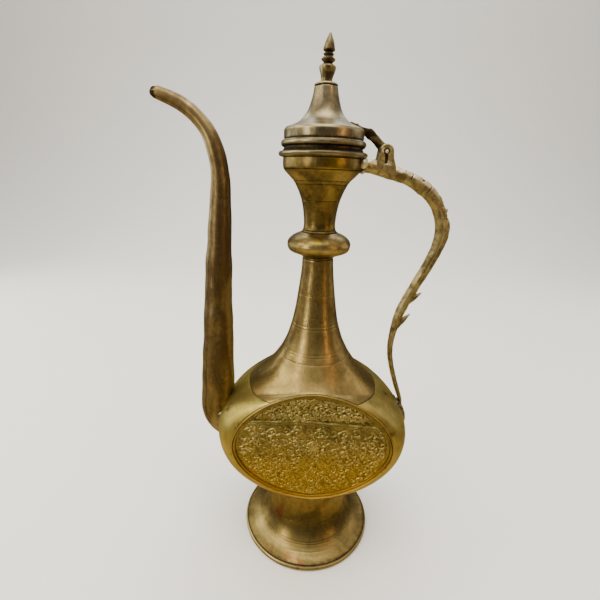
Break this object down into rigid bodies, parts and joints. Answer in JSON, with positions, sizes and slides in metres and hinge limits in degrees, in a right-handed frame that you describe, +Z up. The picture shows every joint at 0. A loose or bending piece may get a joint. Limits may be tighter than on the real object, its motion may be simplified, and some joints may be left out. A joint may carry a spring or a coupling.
{
  "type": "brass pouring ewer",
  "caption": "Tall brass coffee ewer: flattened flask body with oval embossed medallions, spun foot, long curved spout, cast handle and hinged lid with a turned finial.",
  "frame": {"origin": "centre of the foot's standing ring, on the surface it stands on", "axes": "+Z up along the axis of the foot and neck, -X towards the spout, +X towards the handle, -Y out of the front medallion"},
  "size_m": [0.2675, 0.145, 0.5],
  "materials": {
    "spun_brass_dull": "dull olive-brown patina on spun sheet",
    "body_brass": "lighter rubbed yellow brass",
    "golden_brass": "golden embossed sheet with dark recesses",
    "bezel_brass": "rubbed bright edge",
    "lid_brass": "greyish patina",
    "spout_brass": "dark brown patina on rolled sheet",
    "cast_brass": "rough cast and filed",
    "dark_brass": "nearly black patina",
    "solder": "grey tin solder, lumpy",
    "pin_brass": "bright worn end"
  },
  "bodies": {
    "pot": {"foot": "spun_brass_dull", "foot_rim": "bezel_brass", "foot_solder": "solder", "body": "body_brass", "front_medallion": "golden_brass", "back_medallion": "golden_brass", "front_bezel": "bezel_brass", "back_bezel": "bezel_brass", "shoulder": "spun_brass_dull", "neck": "spun_brass_dull", "neck_ring": "spun_brass_dull", "cup": "spun_brass_dull", "cup_bead": "lid_brass", "spout": "spout_brass", "spout_solder": "solder", "handle": "cast_brass", "handle_tail": "cast_brass", "tail_solder": "solder", "snout_solder": "solder", "hinge_pin": "pin_brass"},
    "lid": {"lid_bell": "lid_brass", "lid_bead": "lid_brass", "lid_sleeve": "lid_brass", "lid_washer": "lid_brass", "finial": "lid_brass", "finial_nut": "lid_brass", "lid_arm": "dark_brass", "arm_rivets": "dark_brass"}
  },
  "joints": [
    {"name": "lid_hinge", "type": "hinge", "parent": "pot", "child": "lid", "pos_m": [0.0543, 0, 0.4138], "axis": [0, 1, 0], "range_deg": [0, 115]}
  ]
}
